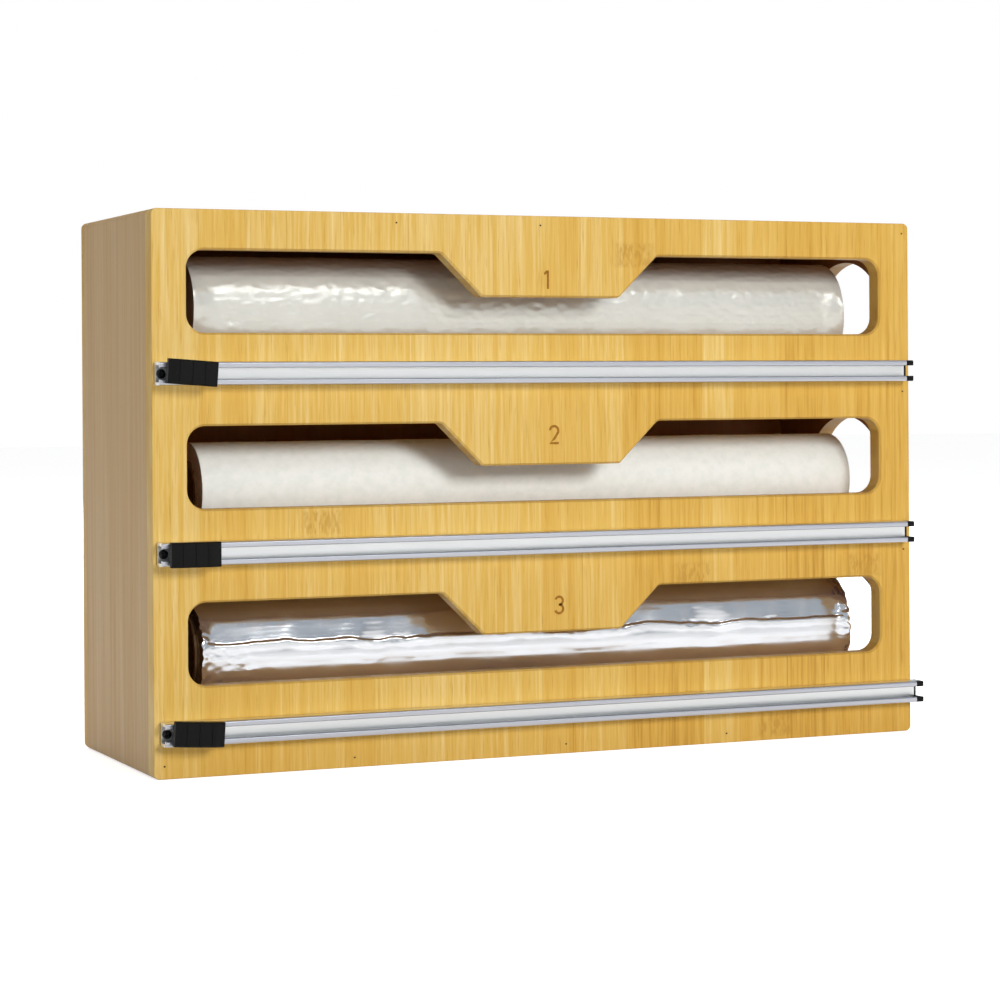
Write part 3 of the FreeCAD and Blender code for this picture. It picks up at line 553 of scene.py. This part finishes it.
def ringed(material, shader, wrap, base, pitch, darker):
    """Lets the ends of a roll show its layers: the colour darkens in rings round the axis.

    The rings are the layers' lines; how dark and brown they are is painted shade.
    """
    place, moved = centred(material, wrap)
    flat = add(material, "ShaderNodeVectorMath", {0: moved, 1: (0.0, 1.0, 1.0)},
               operation="MULTIPLY")
    away = add(material, "ShaderNodeVectorMath", {0: flat.outputs[0]}, operation="LENGTH")
    phase = add(material, "ShaderNodeMath", {0: away.outputs["Value"], 1: 2 * math.pi / pitch},
                operation="MULTIPLY")
    swing = add(material, "ShaderNodeMath", {0: phase.outputs[0]}, operation="SINE")
    facing = add(material, "ShaderNodeSeparateXYZ", {0: place.outputs["Normal"]})
    endways = add(material, "ShaderNodeMath", {0: facing.outputs["X"]}, operation="ABSOLUTE")
    end = add(material, "ShaderNodeMapRange", {"Value": endways.outputs[0], **END_TURNED})
    ring = add(material, "ShaderNodeMapRange", {"Value": swing.outputs[0], **RING_SHADES})
    factor = add(material, "ShaderNodeMath", {0: end.outputs[0], 1: ring.outputs[0]},
                 operation="MULTIPLY")
    colour = add(material, "ShaderNodeMix", {"Factor": factor.outputs[0], "A": base,
                                             "B": linear(darker)}, data_type="RGBA")
    drive(material, colour.outputs[2], shader, "Base Color")


def film_depth(angle, along, radius):
    """Flats at the front that leave the ends round, plus fine ripples and broader puckers."""
    inner = 1 - near_ends(along, FILM_ROUND_ENDS)
    wander = WANDER_SHARE * waves(angle, along, radius, *FILM_WANDER)
    ripples = waves(angle, along, radius, *FILM_RIPPLES)
    pucker = waves(angle, along, radius, *FILM_PUCKERS)
    pressed = flats(FILM_FLATS, angle)[None, :] * (1 + wander) * inner
    return pressed + RIPPLE_DEPTH * (ripples + DIP) + PUCKER_DEPTH * (pucker + DIP)


def film_rims(angle):
    """Rims that stray by less than half a millimetre."""
    return 0.0002 * (1 + np.sin(3 * angle)), 0.0002 * (1 + np.sin(4 * angle + 1))


film_wrap, film_shader = finish("film_clear_layers", Metallic=0.3, Roughness=0.27)
film_cloud = speckles(film_wrap, FILM_CLOUDS, 4.0)
film_tone = add(film_wrap, "ShaderNodeMix", {"Factor": film_cloud, "A": linear(FILM_TONES[0]),
                                             "B": linear(FILM_TONES[1])}, data_type="RGBA")
ringed(film_wrap, film_shader, "film", film_tone.outputs[2], *FILM_RINGS)
film_fine = speckles(film_wrap, FILM_CRINKLE, 3.0, Distortion=0.6)
film_bump = add(film_wrap, "ShaderNodeBump", {"Height": film_fine, "Strength": 0.35,
                                              "Distance": 0.0002})
drive(film_wrap, film_bump.outputs[0], film_shader, "Normal")
wind("film", FILM_LOOSE_EDGE, FILM_STEP, film_depth, film_rims, film_wrap)

# Wax roll: white paper with a thin coat of wax, wound evenly. It is nearly matt, faintly mottled
# where the wax soaked in unevenly, and its loose edge is tucked under the roll.
WAX_TONES = ("#F1F6F1", "#FBFEFA")
# Rings on the ends: the layers' lines, darkened by painted shade.
WAX_RINGS = (0.0006, "#C4AD8C")
WAX_SOAKED = {"From Min": 0.35, "From Max": 0.65}
WAX_MOTTLE = 0.004
WAX_LOOSE_EDGE = math.radians(-100)
WAX_STEP = 0.0001
WAX_SWELLS = (40, 0.012, 0.050, 21)
WAX_SWELL_DEPTH = 0.00005
wax_wrap, wax_shader = finish("wax_paper_white", Roughness=0.5, Specular_IOR_Level=0.4)
wax_cloud = speckles(wax_wrap, WAX_MOTTLE, 5.0, Roughness=0.6)
wax_tone = add(wax_wrap, "ShaderNodeMapRange", {"Value": wax_cloud, **WAX_SOAKED})
wax_white = add(wax_wrap, "ShaderNodeMix", {"Factor": wax_tone.outputs[0],
                                            "A": linear(WAX_TONES[0]),
                                            "B": linear(WAX_TONES[1])}, data_type="RGBA")
ringed(wax_wrap, wax_shader, "wax", wax_white.outputs[2], *WAX_RINGS)
wax_rough = add(wax_wrap, "ShaderNodeMapRange", {"Value": wax_cloud, **WAX_SOAKED,
                                                 "To Min": 0.42, "To Max": 0.6})
drive(wax_wrap, wax_rough.outputs[0], wax_shader, "Roughness")
wax_bump = add(wax_wrap, "ShaderNodeBump", {"Height": wax_cloud, "Strength": 0.16,
                                            "Distance": 0.0003})
drive(wax_wrap, wax_bump.outputs[0], wax_shader, "Normal")


def wax_depth(angle, along, radius):
    """Long low waves, a tenth of a millimetre deep."""
    return WAX_SWELL_DEPTH * (waves(angle, along, radius, *WAX_SWELLS) + DIP)


def wax_rims(angle):
    """Almost straight rims."""
    return 0.0001 * (1 + np.sin(2 * angle)), 0.0001 * (1 + np.sin(3 * angle + 2))


wind("wax", WAX_LOOSE_EDGE, WAX_STEP, wax_depth, wax_rims, wax_wrap)

# Foil roll: bright rolled aluminium, thin enough to crease at a touch. Its sheen mirrors the room
# in bands, broken by creases, and both rims are crumpled from handling.
FOIL_TONES = ("#D9DBDF", "#EEEFF1")
# Rings on the ends: the layers' lines, darkened by painted shade.
FOIL_RINGS = (0.0009, "#6A675F")
FOIL_CLOUDS = 0.015
FOIL_SHINE = {"From Min": 0.35, "From Max": 0.65, "To Min": 0.10, "To Max": 0.24}
FOIL_LINES = (0.05, 0.0006, 0.0006)       # real rolling lines are finer, drawn coarser to show
FOIL_LOOSE_EDGE = math.radians(-120)
FOIL_STEP = 0.0002
FOIL_FLATS = ((-30, 0), (-20, 0.7), (-10, 1.5), (3, 1.95), (12.4, 1.62), (14.4, 2.35),
              (20, 2.15), (25, 1.8), (30, 1.3), (38, 0.1), (46, 0))
FOIL_EDGE = 13                            # angle and spread of the edge at the front, in degrees
FOIL_EDGE_SPREAD = 3
FOIL_EDGE_WANDER = 0.020                  # radians that the edge strays by
FOIL_EDGE_RAGGED = (50, 0.004, 0.060, 36)
FOIL_EDGE_CRUSHED = (20, 0.03, 0.12, 37)
FOIL_ROUND_ENDS = 0.004
FOIL_CRUSHED_ENDS = 0.006
FOIL_SWELLS = (30, 0.030, 0.120, 31, 0.6)
FOIL_CREASES = (40, 0.020, 0.080, 32, 1.3)
FOIL_CREASED = (20, 0.030, 0.090, 38)     # where creases lie, and how much of it stays smooth
FOIL_UNCREASED = 0.2
FOIL_CRUSHES = ((60, 0.004, 0.014, 33), (60, 0.0025, 0.006, 34))
FOIL_PATCHES = (20, 0.030, 0.090, 35)
FOIL_UNCRUSHED = 1.3
FOIL_MOST = 1.5
SWELL_DEPTH = 0.00001
CREASE_DEPTH = 0.00022
CRUSH_DEPTHS = (0.00011, 0.00006, 0.00012)         # at the rims, in patches and along the edge
TEAR_SIZE = 0.0009
RIM_TEETH = ((41, 17, 0.0), (37, 19, 0.4))         # fine teeth, coarse teeth and start of each rim
foil_wrap, foil_shader = finish("foil_bright_rolled", Metallic=0.92)
foil_cloud = speckles(foil_wrap, FOIL_CLOUDS, 3.0)
foil_tone = add(foil_wrap, "ShaderNodeMix", {"Factor": foil_cloud, "A": linear(FOIL_TONES[0]),
                                             "B": linear(FOIL_TONES[1])}, data_type="RGBA")
ringed(foil_wrap, foil_shader, "foil", foil_tone.outputs[2], *FOIL_RINGS)
foil_rough = add(foil_wrap, "ShaderNodeMapRange", {"Value": foil_cloud, **FOIL_SHINE})
drive(foil_wrap, foil_rough.outputs[0], foil_shader, "Roughness")
foil_bump = add(foil_wrap, "ShaderNodeBump", {"Height": speckles(foil_wrap, FOIL_LINES),
                                              "Strength": 0.04, "Distance": 0.0002})
drive(foil_wrap, foil_bump.outputs[0], foil_shader, "Normal")


def foil_depth(angle, along, radius):
    """Flats, and creases where a wave's height passes zero: its size, without sign, is the depth.

    The loose edge is a step in the flats. It wanders along the roll, and small creases gather
    there and at the rims.
    """
    stray = FOIL_EDGE_WANDER * waves(angle[:1], along, radius, *FOIL_EDGE_RAGGED)
    place = angle[None, :] + stray
    swell = waves(angle, along, radius, *FOIL_SWELLS)
    creases = np.abs(waves(angle, along, radius, *FOIL_CREASES))
    creases *= np.clip(waves(angle, along, radius, *FOIL_CREASED) - FOIL_UNCREASED, 0, FOIL_MOST)
    crush = sum(np.abs(waves(angle, along, radius, *size)) for size in FOIL_CRUSHES)
    patches = np.clip(waves(angle, along, radius, *FOIL_PATCHES) - FOIL_UNCRUSHED, 0, 1)
    off = (np.degrees(place) + 180) % 360 - 180 - FOIL_EDGE
    edge = np.exp(-off ** 2 / (2 * FOIL_EDGE_SPREAD ** 2))
    edge = edge * np.clip(waves(angle[:1], along, radius, *FOIL_EDGE_CRUSHED), 0, FOIL_MOST)
    shares = (near_ends(along, FOIL_CRUSHED_ENDS), patches, edge)
    loose = sum(depth * share for depth, share in zip(CRUSH_DEPTHS, shares))
    pressed = flats(FOIL_FLATS, place) * (1 - near_ends(along, FOIL_ROUND_ENDS))
    return pressed + SWELL_DEPTH * (swell + DIP) + CREASE_DEPTH * creases + loose * crush


def foil_rims(angle):
    """Rims torn into points: two zigzags, each the distance of a running number from its middle."""
    share = angle / (2 * math.pi)
    rims = []
    for fine, coarse, start in RIM_TEETH:
        teeth = np.abs((fine * share + start) % 1 - 0.5) * (1 + np.sin(5 * angle + start))
        teeth += 1.2 * np.abs((coarse * share + start) % 1 - 0.5)
        rims.append(TEAR_SIZE * teeth)
    return rims


wind("foil", FOIL_LOOSE_EDGE, FOIL_STEP, foil_depth, foil_rims, foil_wrap)

# Cutter rails: aluminium channels pressed through a die, so that faint lines run along them, then
# anodised to a satin silver. The caps slide along the lips, whose front faces are painted darker
# and bluer than the groove: painted reflection and shade.
RAIL_TONES = ("#DFE1E2", "#F0F1F0")
# Painted reflection and shade: the lips' front faces are coloured darker and bluer than the groove.
RAIL_LIP_REFLECTION_TONES = ("#B2B4BC", "#CACBD1")
RAIL_LINES = (0.12, 0.0003, 0.0003)       # real lines are finer, drawn coarser to show
RAIL_SHINE = {"From Min": 0.3, "From Max": 0.7, "To Min": 0.30, "To Max": 0.40}
LIP_PAINTED_REFLECTION = {"From Min": -0.0608, "From Max": -0.0600, "To Min": 1.0, "To Max": 0.0}
rail_metal, rail_shader = finish("aluminium_satin_anodised", Metallic=1.0)
rail_noise = speckles(rail_metal, RAIL_LINES)
rail_mixes = [add(rail_metal, "ShaderNodeMix", {"Factor": rail_noise, "A": linear(first),
                                                "B": linear(second)}, data_type="RGBA").outputs[2]
              for first, second in (RAIL_TONES, RAIL_LIP_REFLECTION_TONES)]
rail_place = add(rail_metal, "ShaderNodeTexCoord", {})
rail_spot = add(rail_metal, "ShaderNodeSeparateXYZ", {0: rail_place.outputs["Object"]})
rail_lip_reflection = add(rail_metal, "ShaderNodeMapRange", {"Value": rail_spot.outputs["Y"],
                                                     **LIP_PAINTED_REFLECTION})
rail_colour = add(rail_metal, "ShaderNodeMix", {"Factor": rail_lip_reflection.outputs[0],
                                                "A": rail_mixes[0], "B": rail_mixes[1]},
                  data_type="RGBA")
drive(rail_metal, rail_colour.outputs[2], rail_shader, "Base Color")
rail_rough = add(rail_metal, "ShaderNodeMapRange", {"Value": rail_noise, **RAIL_SHINE})
drive(rail_metal, rail_rough.outputs[0], rail_shader, "Roughness")
rail_bump = add(rail_metal, "ShaderNodeBump", {"Height": rail_noise, "Strength": 0.04,
                                               "Distance": 0.0002})
drive(rail_metal, rail_bump.outputs[0], rail_shader, "Normal")
for tier in tiers:
    paint(f"cutter_rail_{tier}", rail_metal)

# Tape: white double-sided foam tape, stuck between each rail and the front panel. Its cut edges are
# dull and full of fine bubbles.
FOAM_BUBBLE = 0.0003
foam_tape, foam_shader = finish("foam_tape_white", Base_Color=linear("#E4E4DF"), Roughness=0.75)
foam_place = add(foam_tape, "ShaderNodeTexCoord", {})
foam_cells = add(foam_tape, "ShaderNodeTexVoronoi", {"Vector": foam_place.outputs["Object"],
                                                     "Scale": 1 / FOAM_BUBBLE})
foam_bump = add(foam_tape, "ShaderNodeBump", {"Height": foam_cells.outputs["Distance"],
                                              "Strength": 0.3, "Distance": 0.0001})
drive(foam_tape, foam_bump.outputs[0], foam_shader, "Normal")
for tier in tiers:
    paint(f"rail_tape_{tier}", foam_tape)

# Sliders and stops: moulded in black ABS. The tool was spark-eroded, so that the surface has a fine
# even grain and only a soft shine. Real grain of 0.1 mm is drawn 0.3 mm wide so that it shows.
ABS_TONES = ("#080808", "#151514")
ABS_GRAIN = 0.0003
slider_abs = speckled("abs_black_moulded", ABS_TONES, ABS_GRAIN, 0.2, Roughness=0.45,
                      Specular_IOR_Level=0.13)
for tier in tiers:
    for part in ("slider_shoe", "slider_cap", "rail_stop"):
        paint(f"{part}_{tier}", slider_abs)

# Blades: thin hardened steel, ground across, so that fine scratches run from edge to back. Each is
# clamped in a slit of its slider and shows only in the gap that the wrap passes through.
BLADE_SCRATCHES = (0.0002, 0.004, 0.004)
blade_steel, blade_shader = finish("blade_steel_ground", Base_Color=linear("#C4C6CA"), Metallic=1.0,
                                   Roughness=0.25)
blade_bump = add(blade_steel, "ShaderNodeBump", {"Height": speckles(blade_steel, BLADE_SCRATCHES),
                                                 "Strength": 0.2, "Distance": 0.0001})
drive(blade_steel, blade_bump.outputs[0], blade_shader, "Normal")
for tier in tiers:
    paint(f"cutter_blade_{tier}", blade_steel)

# Screws: pan head wood screws of blackened steel, one at the left end of each rail, with a cross
# recess for the driver. The recess is pressed into the head and narrows towards its floor.
SCREW_AROUND = 96
SCREW_ENDS = ((-0.1715, 0.1608), (-0.1709, 0.0894), (-0.1699, 0.0183))
HEAD_RADIUS = 0.0019
DOME_BASE = -0.05620
DOME_RISE = 0.00095
DOME_RINGS = 22
SCREW_PROFILE = ((0.0, -0.03990), (0.0004, -0.04080), (0.0009, -0.04230), (0.0012, -0.04400),
                 (0.0012, -0.05585), (HEAD_RADIUS, -0.05585), (HEAD_RADIUS, DOME_BASE))
RECESS_DEPTH = 0.0008
RECESS_TAPER = 0.6        # part of the depth lost towards an arm's end
RECESS_REACH = 0.0013
RECESS_ARM = 0.00032      # half an arm's width
RECESS_TURNS = (20, 52, 35)
SCREW_TONES = ("#0E0E10", "#242426")
SCREW_SPECKS = 0.0005
screw_steel = speckled("screw_steel_blackened", SCREW_TONES, SCREW_SPECKS, 0.15, Metallic=0.3,
                       Roughness=0.35, Specular_IOR_Level=0.3)


def screw_grid(middle_x, middle_z, turn):
    """A profile of radius and depth turned round the screw's axis.

    The dome rises with the square root of one minus the squared share of the radius. A dome point
    sinks by the recess's depth, less towards the arms' ends, where it lies within half an arm of
    either line of the cross.
    """
    share = np.linspace(1, 0, DOME_RINGS + 1)[1:]
    dome = DOME_BASE - DOME_RISE * np.sqrt(1 - share ** 2)
    radius = np.append([spot[0] for spot in SCREW_PROFILE], HEAD_RADIUS * share)
    depth = np.append([spot[1] for spot in SCREW_PROFILE], dome)
    angle = 2 * math.pi * np.arange(SCREW_AROUND) / SCREW_AROUND
    out = radius[:, None] * np.cos(angle - turn)[None, :]
    up = radius[:, None] * np.sin(angle - turn)[None, :]
    across = np.minimum(np.abs(out), np.abs(up))
    along = np.maximum(np.abs(out), np.abs(up))
    inside = (across < RECESS_ARM) & (along < RECESS_REACH) & (depth[:, None] < DOME_BASE)
    sunk = depth[:, None] + inside * RECESS_DEPTH * (1 - RECESS_TAPER * along / RECESS_REACH)
    return np.stack([middle_x + radius[:, None] * np.cos(angle)[None, :], sunk,
                     middle_z + radius[:, None] * np.sin(angle)[None, :]], 2)


def grid_faces(rows, columns, start):
    """Quads between neighbouring rows and columns of a grid whose columns close to a ring."""
    row = np.arange(rows - 1)[:, None] * columns
    column = np.arange(columns)[None, :]
    after = (column + 1) % columns
    faces = np.stack([row + column, row + after, row + columns + after, row + columns + column], 2)
    return start + faces.reshape(-1, 4)


screw_points = []
screw_faces = []
for (screw_x, screw_z), turn in zip(SCREW_ENDS, RECESS_TURNS):
    grid = screw_grid(screw_x, screw_z, math.radians(turn))
    screw_faces.append(grid_faces(*grid.shape[:2], sum(len(part) for part in screw_points)))
    screw_points.append(grid.reshape(-1, 3))
new_piece("rail_screws_crossed", np.vstack(screw_points), np.vstack(screw_faces), screw_steel,
          "case", stands_for=("rail_screws",), smooth=30)

# Studio: white walls, a duller blue-grey ceiling and a white floor. The key lamp stands in front, a
# little to the right and above, a weak one fills the left side, and two more light the top and the
# back. The sheen lamp shows only as a reflection. The camera sees the surroundings as plain white.
CEILING = ((0.0, "#FFFFFF"), (0.17, "#FFFFFF"), (0.21, "#8D959D"), (0.30, "#A9B1B9"),
           (0.60, "#B9C0C7"))
ROOM_LEVEL = 0.30
CAST_LEVEL = 2.5          # stands for the key lamp's light that metal throws onto the wood near it
FLOOR_LEVEL = 0.72        # what the camera sees on top of the light that falls on the floor
FLOOR_MIRRORED = 0.50
FLOOR_HALF = 6
floor_mesh = bpy.data.meshes.new("floor")
floor_mesh.from_pydata([(-FLOOR_HALF, -FLOOR_HALF, 0), (FLOOR_HALF, -FLOOR_HALF, 0),
                        (FLOOR_HALF, FLOOR_HALF, 0), (-FLOOR_HALF, FLOOR_HALF, 0)], [],
                       [(0, 1, 2, 3)])
floor = bpy.data.objects.new("floor", floor_mesh)
bpy.context.scene.collection.objects.link(floor)
floor_white, floor_shader = finish("floor_white", Base_Color=linear("#E0E0E0"), Roughness=0.9,
                                   Emission_Color=(1, 1, 1, 1))
floor_mesh.materials.append(floor_white)
floor_path = add(floor_white, "ShaderNodeLightPath", {})
floor_mirrored = add(floor_white, "ShaderNodeMath", {0: floor_path.outputs["Is Glossy Ray"],
                                                     1: FLOOR_MIRRORED}, operation="MULTIPLY")
floor_glow = add(floor_white, "ShaderNodeMath", {0: floor_path.outputs["Is Camera Ray"],
                                                 1: FLOOR_LEVEL, 2: floor_mirrored.outputs[0]},
                 operation="MULTIPLY_ADD")
drive(floor_white, floor_glow.outputs[0], floor_shader, "Emission Strength")

world = bpy.data.worlds.new("studio")
bpy.context.scene.world = world
world.use_nodes = True
room = world.node_tree.nodes["Background"]
room_place = add(world, "ShaderNodeTexCoord", {})
room_way = add(world, "ShaderNodeSeparateXYZ", {0: room_place.outputs["Generated"]})
room_tone = add(world, "ShaderNodeValToRGB", {0: room_way.outputs["Z"]})
room_ramp = room_tone.color_ramp
room_ramp.elements[1].position = CEILING[-1][0]
room_ramp.elements[1].color = linear(CEILING[-1][1])
for height, colour in CEILING[1:-1]:
    room_ramp.elements.new(height).color = linear(colour)
room_ramp.elements[0].color = linear(CEILING[0][1])
room_path = add(world, "ShaderNodeLightPath", {})
room_seen = add(world, "ShaderNodeMix", {"Factor": room_path.outputs["Is Glossy Ray"],
                                         "A": (1, 1, 1, 1), "B": room_tone.outputs[0]},
                data_type="RGBA")
drive(world, room_seen.outputs[2], room, "Color")
room_direct = add(world, "ShaderNodeMath", {0: room_path.outputs["Is Camera Ray"],
                                            1: room_path.outputs["Is Glossy Ray"]},
                  operation="MAXIMUM")
room_through = add(world, "ShaderNodeMath", {0: room_direct.outputs[0],
                                             1: room_path.outputs["Is Transmission Ray"]},
                   operation="MAXIMUM")
room_plain = add(world, "ShaderNodeMapRange", {"Value": room_through.outputs[0],
                                               "To Min": ROOM_LEVEL, "To Max": 1.0})
room_bounced = add(world, "ShaderNodeMath", {0: room_path.outputs["Diffuse Depth"], 1: 0.5},
                   operation="GREATER_THAN")
room_cast = add(world, "ShaderNodeMath", {0: room_bounced.outputs[0],
                                          1: room_path.outputs["Is Glossy Ray"]},
                operation="MULTIPLY")
room_level = add(world, "ShaderNodeMath", {0: room_cast.outputs[0], 1: CAST_LEVEL,
                                           2: room_plain.outputs[0]}, operation="MULTIPLY_ADD")
drive(world, room_level.outputs[0], room, "Strength")


def lamp(name, place, aim, size, power, diffuse=True, mirrored=False):
    """A square soft lamp that faces a point and may be left out of soft or mirrored light."""
    light = bpy.data.lights.new(name, "AREA")
    light.size = size
    light.energy = power
    holder = bpy.data.objects.new(name, light)
    bpy.context.scene.collection.objects.link(holder)
    holder.location = place
    holder.visible_diffuse = diffuse
    holder.visible_glossy = mirrored
    way = np.array(aim) - np.array(place)
    away = math.hypot(way[0], way[1])
    holder.rotation_euler = (math.atan2(away, -way[2]), 0, math.atan2(-way[0], way[1]))


lamp("key_lamp", (0.46, -2.35, 0.84), (0, 0, 0.11), 0.62, 36)
lamp("side_lamp", (-2.0, -0.35, 0.7), (-0.17, 0, 0.11), 1.0, 1.2)
lamp("sheen_lamp", (0.56, -1.9, 1.39), (0, 0, 0.19), 0.65, 7.5, False, True)
lamp("top_lamp", (0.0, 0.45, 2.0), (0, 0.05, 0.2), 0.7, 16)
lamp("back_lamp", (0.5, 2.3, 0.9), (0, 0, 0.11), 0.8, 33)

bpy.context.scene.view_settings.view_transform = "Standard"
